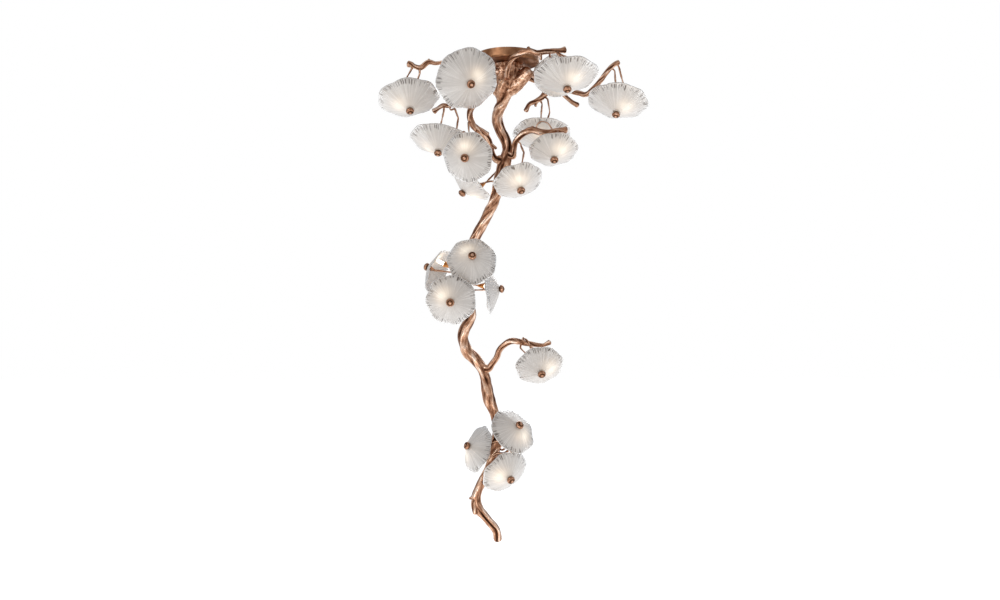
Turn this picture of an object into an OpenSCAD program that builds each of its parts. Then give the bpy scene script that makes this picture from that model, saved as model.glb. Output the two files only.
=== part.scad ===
// Branch chandelier: a cast tree branch hangs from a round ceiling canopy and carries
// nineteen frosted glass leaf shades. Each shade sits on a threaded stud, held by a ball
// knob, and a capsule lamp on its own twig shines into the dish.
// The origin is the centre of the canopy's top, on the ceiling. +Z is up, +X is to the
// right seen from the front, and +Y points away from the viewer.

/* [Canopy] */
// Outside diameter of the canopy
canopy_d = 200; // [190:1:230]
// Height of the canopy
canopy_h = 28; // [26:0.5:36]
// Sheet thickness of the canopy
canopy_wall = 1.5; // [1:0.1:2.5]
// Radius of the canopy's lower edge
canopy_edge_r = 6; // [4:0.5:8]

/* [Ceiling bracket] */
// Length of the bracket
bracket_l = 150; // [140:1:170]
// Width of the bracket strap
bracket_w = 30; // [24:1:36]
// Thickness of the bracket strap
bracket_t = 3; // [2:0.5:4]
// How far the middle of the bracket stands off the ceiling
bracket_drop = 12; // [10:0.5:12.5]
// Length of the lowered middle part
bracket_mid_l = 84; // [76:1:90]
// Distance between the two ceiling bolts
bolt_spacing = 120; // [115:1:124]
// Diameter of the ceiling bolt holes
bolt_hole_d = 6.5; // [5:0.5:8]

/* [Hanging nipple] */
// Outside diameter of the threaded hanging tube
nipple_d = 12; // [10:0.5:14]
// Bore of the hanging tube, for the wires
nipple_bore_d = 8; // [6:0.5:8.5]
// How far the tube goes into the root of the trunk
nipple_grip = 24; // [18:1:32]
// Width across the flats of the nuts
nut_af = 19; // [17:0.5:22]
// Height of a nut
nut_h = 4; // [3:0.5:4.5]

/* [Electrics] */
// Length of the driver box
driver_l = 80; // [60:1:84]
// Width of the driver box
driver_w = 32; // [24:1:36]
// Height of the driver box
driver_h = 18; // [14:1:21]
// Length of the terminal block
terminal_l = 28; // [20:1:32]
// Width of the terminal block
terminal_w = 17; // [14:1:20]
// Height of the terminal block
terminal_h = 9; // [7:0.5:9.5]

/* [Trunk and branches] */
// Usual thickness of the trunk
trunk_d = 32; // [29:0.5:34]
// Usual thickness of a branch
branch_d = 16; // [14.5:0.5:17]
// Thickness of a twig
twig_d = 5.5; // [4.5:0.1:6.5]
// Diameter of the spigots that join the trunk sections
section_spigot_d = 12; // [8:0.5:14]
// Length of the spigots that join the trunk sections
section_spigot_l = 22; // [14:1:26]
// Diameter of the spigot on a branch's foot
branch_spigot_d = 8; // [6:0.5:9]
// Length of the spigot on a branch's foot
branch_spigot_l = 10; // [6:0.5:11]
// Diameter of the spigot on a twig's foot
twig_spigot_d = 3; // [2:0.1:3.5]
// Length of the spigot on a twig's foot
twig_spigot_l = 3.5; // [2.5:0.1:4]

/* [Leaf shades] */
// Diameter of a large leaf
large_d = 198; // [190:1:204]
// Depth of a large leaf's dish
large_depth = 42; // [38:0.5:46]
// Diameter of a small leaf
small_d = 156; // [150:1:160]
// Depth of a small leaf's dish
small_depth = 33; // [30:0.5:36]
// Thickness of the glass
glass_t = 4; // [3:0.1:5]
// How far the seven straight edges are cut in from the circle, as a share of the radius
edge_cut = 0.05; // [0.02:0.005:0.08]

/* [Leaf fastening] */
// Diameter of the stud that a leaf turns on
stud_d = 6; // [5:0.1:7]
// Diameter of the ball knob
knob_d = 26; // [22:0.5:30]
// How far the stud is screwed into the knob
knob_grip = 11; // [8:0.5:12]
// Diameter of the washers
washer_d = 16; // [13:0.5:18]
// Thickness of a washer
washer_t = 1.5; // [1:0.1:2]
// Diameter of the collar behind a leaf
collar_d = 13; // [10:0.5:15]
// Height of the collar behind a leaf
collar_h = 7; // [5:0.5:9]

/* [Lamps] */
// Diameter of the bulb
bulb_d = 11; // [9:0.5:12]
// Length of the bulb's glass
bulb_l = 27; // [22:0.5:28]
// Diameter of the ceramic lamp holder
holder_d = 11; // [10:0.5:12.5]
// Height of the ceramic lamp holder
holder_h = 12; // [10:0.5:13]
// Distance between the bulb's two pins
pin_spacing = 4; // [3.6:0.1:5]
// Diameter of a pin
pin_d = 1; // [0.7:0.1:1.2]
// Length of a pin
pin_l = 6; // [4:0.5:7]
// Length of the lamp cup
cup_l = 20; // [18:0.5:22]
// Diameter of the cup's mouth
cup_mouth_d = 21; // [19:0.5:23]
// Diameter of the cup's back end
cup_back_d = 7; // [5:0.5:8.5]
// Wall of the cup
cup_wall = 1.2; // [0.8:0.1:1.6]

/* [Fits] */
// Radial clearance of a leaf on its stud
run_fit = 0.05; // [0.02:0.01:0.1]
// Radial clearance of a spigot in its socket
spigot_fit = 0.05; // [0.02:0.01:0.15]
// Gap between two flat faces that meet
face_gap = 0.1; // [0.05:0.01:0.2]
// Gap between a foot and the round bark that it stands on
foot_gap = 0.8; // [0.5:0.1:1.2]

/* [Hidden] */
$fn = 48;
trunk_r = trunk_d / 2;
branch_r = branch_d / 2;
stud_r = stud_d / 2;

// A route is a list of rows [x, y, z, thickness], measured from the centre of the canopy's
// underside. Thickness 1 is the usual thickness of the trunk or of a branch.
TRUNK = [
    [0, 0, 0, 2.7], [2, 0, -30, 2.7], [-4, 0, -62, 2.65], [-14, 0, -84, 2.3], [-15, 0, -105, 1.5],
    [-19, 2, -126, 1.08], [-31, 5, -150, 1.05], [-33, 6, -180, 1.05], [-24, 4, -210, 1.08],
    [-8, -2, -244, 1], [-1, -6, -275, 0.95], [-6, -8, -300, 1.15], [-12, -6, -322, 1.25],
    [-20, -3, -342, 1.1], [-29, 0, -375, 1.05], [-35, 2, -410, 1], [-50, 4, -450, 0.97],
    [-73, 6, -498, 1], [-97, 6, -540, 0.95], [-120, 5, -590, 0.95], [-134, 3, -640, 0.95],
    [-141, 0, -690, 1], [-136, -2, -725, 0.9], [-127, -4, -757, 0.88], [-116, -4, -795, 0.88],
    [-122, -2, -820, 0.95], [-136, 0, -845, 1.05], [-144, 2, -870, 1.05], [-141, 3, -893, 1.05],
    [-130, 3, -920, 1.12], [-104, 2, -946, 1.1], [-84, 0, -975, 0.95], [-73, -1, -1005, 0.95],
    [-66, -2, -1043, 1.1], [-58, -4, -1080, 1.15], [-45, -5, -1112, 0.92], [-39, -4, -1145, 0.82],
    [-36, -2, -1178, 0.85], [-35, 0, -1200, 1.15], [-42, 2, -1230, 1.15], [-49, 4, -1262, 1.08],
    [-60, 4, -1298, 0.95], [-79, 2, -1330, 0.88], [-95, 0, -1360, 0.85], [-103, -1, -1385, 0.92],
    [-100, -2, -1408, 0.88], [-90, -3, -1428, 0.95], [-75, -4, -1445, 0.82], [-58, -5, -1465, 0.8],
    [-38, -6, -1490, 0.82], [-32, -6, -1520, 0.75]];
// Rows of the trunk where its sections meet
upper_joint = 21;
lower_joint = 38;

// Each branch: name, the trunk row that it leaves from, and the rows that it passes
BRANCHES = [
    ["branch_top_left", 1, [[-88, -50, -25, 1], [-135, -55, -14, 0.85], [-177, -50, -6, 0.75],
        [-202, -45, -5, 0.7], [-228, -42, -8, 0.75], [-252, -40, -4, 0.95], [-275, -40, -21, 1],
        [-294, -40, -18, 0.85], [-306, -40, -12, 1.1], [-314, -40, -10, 1.1]]],
    ["branch_left", 3, [[-74, 30, -86, 1], [-116, 40, -97, 0.95], [-156, 45, -112, 0.9],
        [-190, 42, -124, 0.85], [-211, 40, -124, 0.9], [-227, 38, -134, 0.75],
        [-239, 36, -143, 1]]],
    ["branch_lower_left", 11.6, [[-51, -5, -289, 1.2], [-55, -15, -270, 1.15], [-67, -30, -242, 1.3],
        [-89, -45, -224, 1.3], [-110, -50, -205, 1.25], [-120, -50, -180, 1.2],
        [-117, -45, -153, 1.15], [-99, -40, -134, 1.05], [-89, -40, -129, 0.9]]],
    ["branch_top_right", 1.6, [[0, -80, -30, 1], [14, -115, -11, 0.95], [38, -135, -1, 0.95],
        [62, -140, 5, 1], [87, -142, -3, 1], [111, -145, 0, 1], [135, -148, 1, 0.95],
        [157, -150, 2, 0.85], [171, -150, 4, 1.05]]],
    ["branch_right", 1.4, [[52, 35, -30, 1.65], [82, 60, -18, 1.3], [122, 85, -20, 1.1],
        [160, 98, -34, 1.05], [189, 95, -54, 1], [214, 80, -69, 1], [236, 60, -80, 1],
        [254, 40, -88, 1], [271, 20, -78, 1], [288, 5, -63, 1], [307, 0, -38, 0.95],
        [326, 0, -14, 0.95], [342, 0, 0, 0.9], [354, 0, 6, 0.8]]],
    ["branch_back", 2, [[12, 80, -30, 1], [50, 115, -14, 0.95], [90, 135, -20, 0.95],
        [125, 145, -37, 1], [141, 140, -52, 1.1], [125, 138, -64, 1.2], [112, 135, -78, 1.1],
        [92, 132, -91, 0.95], [72, 128, -102, 0.85], [61, 124, -123, 0.85]]],
    ["branch_right_lower", 10.7, [[20, -20, -274, 1], [23, -26, -254, 1.1], [35, -30, -239, 1.15],
        [53, -34, -225, 1.2], [75, -37, -218, 1.3], [101, -40, -225, 1.25],
        [126, -42, -227, 1.1], [151, -44, -221, 0.95], [170, -45, -219, 0.9],
        [182, -45, -219, 1.15]]],
    ["branch_lone", 31.2, [[-51, -5, -959, 1.15], [-36, -10, -937, 1.15], [-29, -12, -917, 1.15],
        [-16, -14, -901, 1.15], [6, -15, -887, 1.2], [32, -15, -887, 1.15],
        [60, -15, -893, 1.1], [86, -15, -897, 0.9], [112, -15, -898, 0.7],
        [132, -15, -890, 0.95]]]];

// Side shoots, spurs and nubs that are cast in one with a branch: the branch's number, or -1
// for the trunk, and their rows
SHOOTS = [
    [4, [[160, 98, -36, 0.8], [172, 102, -62, 0.9], [193, 100, -83, 0.85], [212, 97, -100, 0.85],
        [231, 95, -111, 0.95]]],
    [6, [[88, -38, -218, 0.28], [93, -39, -200, 0.28], [107, -41, -192, 0.28],
        [127, -42, -199, 0.28], [141, -43, -222, 0.28]]],
    [0, [[-252, -40, -5, 0.7], [-250, -40, 5, 0.4]]],
    [2, [[-106, -49, -211, 1], [-84, -50, -222, 1], [-65, -50, -234, 0.85]]],
    [2, [[-59, -22, -257, 0.8], [-38, -22, -273, 0.5]]],
    [2, [[-79, -40, -231, 0.4], [-112, -42, -240, 0.35], [-142, -40, -227, 0.7]]],
    [3, [[62, -140, 5, 0.8], [61, -140, 15, 0.5]]],
    [3, [[98, -143, -4, 0.6], [99, -143, -24, 0.4]]],
    [3, [[146, -149, 1, 0.7], [158, -149, -15, 0.6]]],
    [5, [[98, 133, -88, 0.6], [93, 133, -106, 0.45]]],
    [6, [[79, -38, -218, 0.7], [77, -38, -207, 0.4]]],
    [7, [[44, -15, -889, 0.55], [49, -15, -874, 0.25]]],
    [7, [[48, -16, -877, 0.32], [60, -24, -882, 0.28], [68, -25, -896, 0.28],
        [71, -22, -909, 0.25]]],
    [-1, [[-8, -4, -92, 1.2], [20, -16, -74, 1.35], [46, -30, -50, 1.25], [62, -38, -34, 1.1]]],
    [-1, [[-38, 0, -1214, 0.38], [-60, 0, -1207, 0.25]]],
    [-1, [[-35, 0, -1215, 0.38], [-16, -2, -1210, 0.3]]],
    [-1, [[-103, -1, -1384, 0.5], [-123, -1, -1390, 0.2]]],
    [-1, [[-104, -6, -1378, 0.5], [-110, -10, -1405, 0.48], [-104, -13, -1434, 0.46]]],
    [-1, [[-34, -6, -1512, 0.45], [-41, -6, -1519, 0.4]]],
    [-1, [[-46, -8, -1210, 0.32], [-35, -20, -1204, 0.24], [-16, -16, -1208, 0.24],
        [0, -9, -1222, 0.24], [14, -8, -1246, 0.2]]],
    [-1, [[-60, -6, -1260, 0.32], [-36, -18, -1244, 0.24], [-16, -17, -1243, 0.24],
        [-5, -13, -1240, 0.24], [4, -9, -1230, 0.2]]]];

// Each leaf: name, large or small, centre of its rim, how far it faces down, how far it faces
// to the right, turn of its outline, parent (-1 is the trunk), row that the leaf twig leaves
// from, points it passes, lamp's parent, row that the lamp twig leaves from, points it passes,
// and the bulb's tip and a point behind it, both seen from the leaf's own centre
LEAVES = [
    ["01", "large", [-314, -40, -118], 65, 18, 10, 0, 8.2, [], 0, 9.4, [],
        [-20, 0, -34], [-16, 4, -90]],
    ["02", "large", [-127, -120, -77], 31, 19, 40, 0, 3.3, [], 0, 2.5, [],
        [16, 14, -26], [20, 14, -90]],
    ["03", "large", [172, -190, -82], 71, 9, 20, 3, 7.6, [], 3, 8.6, [],
        [12, 20, -28], [8, 24, -90]],
    ["04", "small", [157, -5, -41], 45, -5, 0, 4, 4.3, [], 4, 5.2, [],
        [10, -20, -22], [16, -26, -80]],
    ["05", "large", [349, -20, -124], 67, -25, 30, 4, 13.2, [], 4, 14.5, [],
        [20, 4, -30], [18, 8, -90]],
    ["06", "large", [-220, 40, -236], 68, -18, 5, 1, 5.0, [[-172, 40, -134], [-161, 40, -165],
        [-166, 38, -200]], 1, 5.8, [], [-22, 0, -36], [-4, 6, -90]],
    ["07", "small", [-123, -150, -321], 13, -12, 15, 2, 5.3, [[-89, -105, -289]], 2, 6.4, [],
        [-3, 22, -22], [-3, 30, -80]],
    ["08", "small", [-123, 30, -380], 50, -73, 0, -1, 14.1, [], -1, 13.2, [],
        [0, -22, -24], [0, -38, -80]],
    ["09", "large", [115, 140, -198], 68, -4, 25, 5, 7.4, [[141, 134, -126]],
        5, 8.3, [], [-3, 22, -44], [-3, 20, -100]],
    ["10", "small", [140, -90, -290], 58, 4, 12, 6, 7.7, [], 6, 9.2, [],
        [14, 14, -26], [14, 26, -80]],
    ["11", "small", [30, -110, -389], 52, 21, 35, -1, 12.2, [], 6, 3.3,
        [[41, -32, -268], [50, -44, -290]], [-12, 16, -26], [20, 10, -80]],
    ["12", "small", [-112, -110, -635], -21, 3, 20, -1, 19.9, [], -1, 18.8, [],
        [-12, 18, -22], [-14, 30, -80]],
    ["13", "small", [-226, 10, -664], -23, -108, 8, -1, 20.6, [], -1, 19.6, [],
        [8, 33, -20], [6, 31, -66]],
    ["14", "small", [-174, -150, -755], 11, -1, 28, -1, 22.5, [], -1, 23.4, [],
        [-18, 12, -22], [-20, 16, -80]],
    ["15", "small", [-61, 10, -723], -5, 84, 18, -1, 22.1, [], -1, 21.2, [],
        [24, 10, -24], [34, 20, -80]],
    ["16", "small", [100, -20, -965], 36, 10, 22, 7, 7.4, [], 7, 8.6, [],
        [22, 2, -24], [20, 16, -80]],
    ["17", "small", [15, -60, -1166], -34, 38, 10, -1, 37.2, [], -1, 38.9, [],
        [12, -18, -24], [16, -22, -80]],
    ["18", "small", [-98, 15, -1234], -19, -60, 33, -1, 39.4, [], -1, 40.3, [],
        [-16, -16, -24], [-18, -18, -80]],
    ["19", "small", [-10, -70, -1292], 29, 31, 14, -1, 39.9, [], -1, 40.9, [],
        [-20, 0, -24], [-22, 4, -80]]];

// Height of a dish above its rim, as shares: how far out, and how far down from the apex
DISH = [[0.17, 0], [0.33, 0.16], [0.55, 0.42], [0.78, 0.72], [1, 1]];

function leaf_radius(leaf) = (leaf[1] == "large" ? large_d : small_d) / 2;
function leaf_depth(leaf) = leaf[1] == "large" ? large_depth : small_depth;
function unit(v) = v / norm(v);
function place(row) = [row[0], row[1], row[2]];

// A point on the smooth curve through a route, and the curve's direction there
function corner(route, i) =
    i < 0 ? 2 * route[0] - route[1] :
    i < len(route) ? route[i] : 2 * route[len(route) - 1] - route[len(route) - 2];
function segment(route, u) = max(0, min(floor(u), len(route) - 2));
function along(route, u) =
    let (i = segment(route, u), t = u - i)
    let (a = corner(route, i - 1), b = corner(route, i), c = corner(route, i + 1))
    let (d = corner(route, i + 2))
    b + 0.5 * t * (c - a + t * (2 * a - 5 * b + 4 * c - d + t * (3 * b - a - 3 * c + d)));
function heading(route, u) =
    let (i = segment(route, u), t = u - i)
    let (a = corner(route, i - 1), b = corner(route, i), c = corner(route, i + 1))
    let (d = corner(route, i + 2))
    unit(place(0.5 * (c - a) + t * (2 * a - 5 * b + 4 * c - d) + 1.5 * t * t * (3 * b - a - 3 * c + d)));

// Rings around a route, turned as little as possible from one to the next
function any_side(v) = abs(v[1]) < 0.9 ? [0, 1, 0] : [1, 0, 0];
function square_to(v, axis) = unit(v - axis * (v * axis));
function sides_along(headings) = [
    for (
        i = 0, side = square_to(any_side(headings[0]), headings[0]);
        i < len(headings);
        i = i + 1, side = i < len(headings) ? square_to(side, headings[i]) : side
    ) side];
function ring(centre, axis, side, r, sides) =
    let (other = cross(axis, side))
    [for (k = [0 : sides - 1]) centre + r * (cos(360 * k / sides) * side + sin(360 * k / sides) * other)];
function rings(route, r, sides, steps) =
    let (count = (len(route) - 1) * steps)
    let (headings = [for (i = [0 : count]) heading(route, i / steps)])
    let (normals = sides_along(headings))
    [for (i = [0 : count]) let (p = along(route, i / steps))
        ring(place(p), headings[i], normals[i], r * p[3], sides)];
// Two more rings that round the end off: how far past the end, and how wide, as shares
END_RINGS = [[0.4, 0.9], [0.7, 0.55]];
function rounded_end(route, r, sides, steps, list) =
    let (last = len(route) - 1, p = along(route, last), axis = heading(route, last))
    let (centre = place(p), size = r * p[3])
    concat(list, [for (s = END_RINGS)
        [for (q = list[len(list) - 1]) centre + axis * size * s[0] + (q - centre) * s[1]]]);

// Sides of the faceted skins, and rings for each row of a route
trunk_sides = 12;
branch_sides = 8;
shoot_sides = 6;
twig_sides = 8;
row_steps = 2;
function closed_rings(route, r, sides) =
    rounded_end(route, r, sides, row_steps, rings(route, r, sides, row_steps));

module skin(list) {
    sides = len(list[0]);
    last = (len(list) - 1) * sides;
    walls = [for (i = [0 : len(list) - 2], k = [0 : sides - 1])
        let (a = i * sides + k, b = i * sides + (k + 1) % sides)
        each [[a, a + sides, b + sides], [a, b + sides, b]]];
    polyhedron(
        [for (r = list) each r],
        concat(walls, [[for (k = [0 : sides - 1]) k]], [[for (k = [sides - 1 : -1 : 0]) last + k]]));
}

module at_point(p, axis) {
    translate(p)
        rotate([0, acos(axis[2]), atan2(axis[1], axis[0])])
            children();
}

// A foot stands square on its parent's bark, facing the point that it heads for:
// [centre line point, direction, radius of the parent there]
function foot(parent, r, u, target) =
    let (p = along(parent, u), axis = heading(parent, u))
    [place(p), square_to(target - place(p), axis), r * p[3]];
function foot_start(f) = f[0] + f[1] * (f[2] + foot_gap);

module spigot(f, d, l) {
    at_point(f[0] + f[1] * (f[2] - l), f[1])
        cylinder(h = l + foot_gap + 0.5, d = d);
}

module socket(f, d, l) {
    at_point(f[0] + f[1] * (f[2] - l - face_gap), f[1])
        cylinder(h = l + f[2], d = d + 2 * spigot_fit);
}

// A branch's full route: its foot on the trunk, a short lead straight out, and its own rows
function branch_foot(i) = foot(TRUNK, trunk_r, BRANCHES[i][1], place(BRANCHES[i][2][0]));
lead_share = 0.4;
function branch_route(i) =
    let (f = branch_foot(i), rows = BRANCHES[i][2], start = foot_start(f))
    let (lead = lead_share * norm(place(rows[0]) - start))
    concat([[each start, rows[0][3]], [each (start + lead * f[1]), rows[0][3]]], rows);
BRANCH_ROUTES = [for (i = [0 : len(BRANCHES) - 1]) branch_route(i)];
BRANCH_FEET = [for (i = [0 : len(BRANCHES) - 1]) branch_foot(i)];
function parent_route(i) = i < 0 ? TRUNK : BRANCH_ROUTES[i];
function parent_radius(i) = i < 0 ? trunk_r : branch_r;

// A leaf's own frame: its axis points out through the knob, from the apex of the glass
function turned(v, down, right) =
    let (c = cos(90 + down), s = sin(90 + down))
    let (w = [v[0], v[1] * c - v[2] * s, v[1] * s + v[2] * c])
    [w[0] * cos(right) - w[1] * sin(right), w[0] * sin(right) + w[1] * cos(right), w[2]];
function leaf_axis(leaf) = turned([0, 0, 1], leaf[3], leaf[4]);
function leaf_apex(leaf) = leaf[2] + leaf_axis(leaf) * leaf_depth(leaf);
function leaf_point(leaf, v) = leaf_apex(leaf) + turned(v, leaf[3], leaf[4]);
module in_leaf(leaf) {
    translate(leaf_apex(leaf))
        rotate([90 + leaf[3], 0, leaf[4]])
            children();
}
inner_washer_z = -glass_t - face_gap - washer_t;
collar_z = inner_washer_z - face_gap - collar_h;
outer_washer_z = face_gap;
knob_z = outer_washer_z + washer_t + face_gap;

// The lamp lies on the line from the bulb's tip to a point behind it
function cup_slope() = (cup_mouth_d - cup_back_d) / 2 / cup_l;
function cup_floor() = (holder_d / 2 + spigot_fit + cup_wall - cup_back_d / 2) / cup_slope();
lamp_l = cup_floor() + holder_h + bulb_l + 2 * face_gap;
function lamp_tip(leaf) = leaf_point(leaf, leaf[12]);
function lamp_axis(leaf) = unit(lamp_tip(leaf) - leaf_point(leaf, leaf[13]));
function lamp_back(leaf) = lamp_tip(leaf) - lamp_axis(leaf) * lamp_l;

// Points of a twig: straight out of its foot, past the points on the way, and straight in to its
// end. A foot with no such point faces the one that the twig comes in from.
foot_lead = 9;
leaf_lead = 14;
lamp_lead = 8;
leaf_way_in = 30;
lamp_way_in = 10;
function twig_points(f, passed, end, axis, lead) =
    concat([foot_start(f), foot_start(f) + foot_lead * f[1]], passed, [end - lead * axis, end]);
function first_of(passed, other) = len(passed) > 0 ? passed[0] : other;
function leaf_twig_end(leaf) = leaf_point(leaf, [0, 0, collar_z + collar_h / 2]);
function leaf_twig_foot(leaf) =
    foot(parent_route(leaf[6]), parent_radius(leaf[6]), leaf[7],
        first_of(leaf[8], leaf_twig_end(leaf) - leaf_way_in * leaf_axis(leaf)));
function lamp_twig_foot(leaf) =
    foot(parent_route(leaf[9]), parent_radius(leaf[9]), leaf[10],
        first_of(leaf[11], lamp_back(leaf) - lamp_way_in * lamp_axis(leaf)));

// Everything but the canopy hangs from the canopy's underside
module hung() {
    translate([0, 0, -canopy_h])
        children();
}

module canopy() {
    color("#B07C55")
        translate([0, 0, -canopy_h])
            difference() {
                rotate_extrude()
                    difference() {
                        canopy_outline(canopy_d / 2, canopy_edge_r, 0);
                        canopy_outline(canopy_d / 2 - canopy_wall, canopy_edge_r - canopy_wall, canopy_wall);
                    }
                translate([0, 0, -1])
                    cylinder(h = canopy_wall + 2, d = nipple_d + 2 * spigot_fit);
            }
}

// Half of the canopy's section: a pan with a round lower edge
module canopy_outline(r, edge, floor_z) {
    translate([0, floor_z])
        square([r - edge, canopy_h - floor_z + (floor_z > 0 ? 1 : 0)]);
    translate([0, floor_z + edge])
        square([r, canopy_h - floor_z - edge + (floor_z > 0 ? 1 : 0)]);
    intersection() {
        translate([r - edge, floor_z + edge])
            circle(r = edge);
        translate([0, floor_z])
            square([r, edge]);
    }
}

module ceiling_bracket() {
    mid_z = -bracket_drop - bracket_t;
    tab_l = (bracket_l - bracket_mid_l) / 2 + bracket_t;
    color("#8F9194")
        difference() {
            union() {
                translate([-bracket_mid_l / 2, -bracket_w / 2, mid_z])
                    cube([bracket_mid_l, bracket_w, bracket_t]);
                for (side = [-1, 1]) {
                    translate([side * (bracket_mid_l - bracket_t) / 2 - bracket_t / 2, -bracket_w / 2, mid_z])
                        cube([bracket_t, bracket_w, bracket_drop + bracket_t]);
                    translate([side * (bracket_l - tab_l) / 2 - tab_l / 2, -bracket_w / 2, -bracket_t])
                        cube([tab_l, bracket_w, bracket_t]);
                }
            }
            translate([0, 0, mid_z - 1])
                cylinder(h = bracket_t + 2, d = nipple_d + 2 * spigot_fit);
            for (side = [-1, 1])
                translate([side * bolt_spacing / 2, 0, -bracket_t - 1])
                    cylinder(h = bracket_t + 2, d = bolt_hole_d);
        }
}

// Threaded tube from the bracket, through the canopy, into the root of the trunk
nipple_spare = 1;
nipple_top = -bracket_drop + face_gap + nut_h + nipple_spare;
module hanging_nipple() {
    color("#C9B26A")
        translate([0, 0, -canopy_h - nipple_grip])
            difference() {
                cylinder(h = canopy_h + nipple_grip + nipple_top, d = nipple_d);
                translate([0, 0, -1])
                    cylinder(h = canopy_h + nipple_grip + nipple_top + 2, d = nipple_bore_d);
            }
}

module nut(z) {
    translate([0, 0, z])
        difference() {
            cylinder(h = nut_h, d = nut_af / cos(30), $fn = 6);
            translate([0, 0, -1])
                cylinder(h = nut_h + 2, d = nipple_d + 2 * spigot_fit);
        }
}

module nipple_nuts() {
    color("#C9B26A") {
        nut(-bracket_drop + face_gap);
        nut(-bracket_drop - bracket_t - face_gap - nut_h);
    }
}

driver_gap = 6;
module led_driver() {
    color("#F2F2F0")
        translate([-driver_l / 2, bracket_w / 2 + driver_gap, -canopy_h + canopy_wall + face_gap])
            cube([driver_l, driver_w, driver_h]);
}

terminal_gap = 4;
wires = 3;
wire_hole_d = 3.2;
module terminal_block() {
    floor_z = -bracket_drop - bracket_t - face_gap - terminal_h;
    color("#E8E4D8")
        translate([nut_af / 2 + terminal_gap, -terminal_w / 2, floor_z])
            difference() {
                cube([terminal_l, terminal_w, terminal_h]);
                for (i = [0 : wires - 1])
                    translate([terminal_l * (i + 0.5) / wires, -1, terminal_h / 2])
                        rotate([-90, 0, 0])
                            cylinder(h = terminal_w + 2, d = wire_hole_d);
            }
}

TRUNK_RINGS = closed_rings(TRUNK, trunk_r, trunk_sides);

// Which twigs and branches stand on one parent
function twig_feet(parent) = [for (leaf = LEAVES) each [
    if (leaf[6] == parent) leaf_twig_foot(leaf),
    if (leaf[9] == parent) lamp_twig_foot(leaf)]];

function starts_between(row, upper, lower) = row[2] < upper[2] && row[2] > lower[2];

// The trunk between two of its rows, with a spigot up into the section above
socket_start = 5;
module trunk_section(from, to) {
    socket_d = section_spigot_d + 2 * spigot_fit;
    last = to < len(TRUNK) - 1 ? to * row_steps : len(TRUNK_RINGS) - 1;
    color("#B07C55")
        hung()
            difference() {
                union() {
                    skin([for (i = [from * row_steps : last]) TRUNK_RINGS[i]]);
                    for (shoot = SHOOTS)
                        if (shoot[0] < 0 && starts_between(shoot[1][0], TRUNK[from], TRUNK[to]))
                            skin(closed_rings(shoot[1], trunk_r, shoot_sides));
                    if (from > 0)
                        at_point(place(TRUNK[from]), -heading(TRUNK, from))
                            translate([0, 0, -1])
                                cylinder(h = section_spigot_l + 1, d = section_spigot_d);
                }
                if (to < len(TRUNK) - 1)
                    at_point(place(TRUNK[to]), -heading(TRUNK, to))
                        translate([0, 0, -socket_start])
                            cylinder(h = section_spigot_l + face_gap + socket_start, d = socket_d);
                if (from == 0) {
                    translate([0, 0, -nipple_grip - face_gap])
                        cylinder(h = nipple_grip + 5, d = nipple_d + 2 * spigot_fit);
                    translate([-canopy_d / 2, -canopy_d / 2, -face_gap])
                        cube([canopy_d, canopy_d, canopy_h]);
                }
                for (i = [0 : len(BRANCHES) - 1])
                    if (BRANCHES[i][1] > from && BRANCHES[i][1] < to)
                        socket(BRANCH_FEET[i], branch_spigot_d, branch_spigot_l);
                for (leaf = LEAVES) {
                    if (leaf[6] < 0 && leaf[7] > from && leaf[7] < to)
                        socket(leaf_twig_foot(leaf), twig_spigot_d, twig_spigot_l);
                    if (leaf[9] < 0 && leaf[10] > from && leaf[10] < to)
                        socket(lamp_twig_foot(leaf), twig_spigot_d, twig_spigot_l);
                }
            }
}
module trunk_upper() { trunk_section(0, upper_joint); }
module trunk_middle() { trunk_section(upper_joint, lower_joint); }
module trunk_lower() { trunk_section(lower_joint, len(TRUNK) - 1); }

module branch(i) {
    color("#B07C55")
        hung()
            difference() {
                union() {
                    skin(closed_rings(BRANCH_ROUTES[i], branch_r, branch_sides));
                    spigot(BRANCH_FEET[i], branch_spigot_d, branch_spigot_l);
                    for (shoot = SHOOTS)
                        if (shoot[0] == i)
                            skin(closed_rings(shoot[1], branch_r, shoot_sides));
                }
                for (f = twig_feet(i))
                    socket(f, twig_spigot_d, twig_spigot_l);
            }
}

// A twig runs straight from point to point, with a rounded bend at each corner: how far from
// the corner a bend starts at most, and as a share of the straight lengths beside it
bend_max = 9;
bend_share = 0.36;
bend_cut = 0.22;
function step_between(points, i) = points[i + 1] - points[i];
function bend_reach(points, i) =
    min(bend_max, bend_share * norm(step_between(points, i - 1)), bend_share * norm(step_between(points, i)));
function bend(points, i) =
    let (before = unit(step_between(points, i - 1)), after = unit(step_between(points, i)))
    let (e = bend_reach(points, i))
    [points[i] - e * before, points[i] + bend_cut * e * (after - before), points[i] + e * after];
function with_bends(points) = concat(
    [points[0]],
    [for (i = [1 : len(points) - 2]) each bend(points, i)],
    [points[len(points) - 1]]);
module twig(points) {
    line = with_bends(points);
    last = len(line) - 1;
    headings = [for (i = [0 : last])
        i == 0 ? unit(step_between(line, 0)) :
        i == last ? unit(step_between(line, last - 1)) :
        unit(unit(step_between(line, i - 1)) + unit(step_between(line, i)))];
    normals = sides_along(headings);
    skin([for (i = [0 : last]) ring(line[i], headings[i], normals[i], twig_d / 2, twig_sides)]);
}

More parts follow.
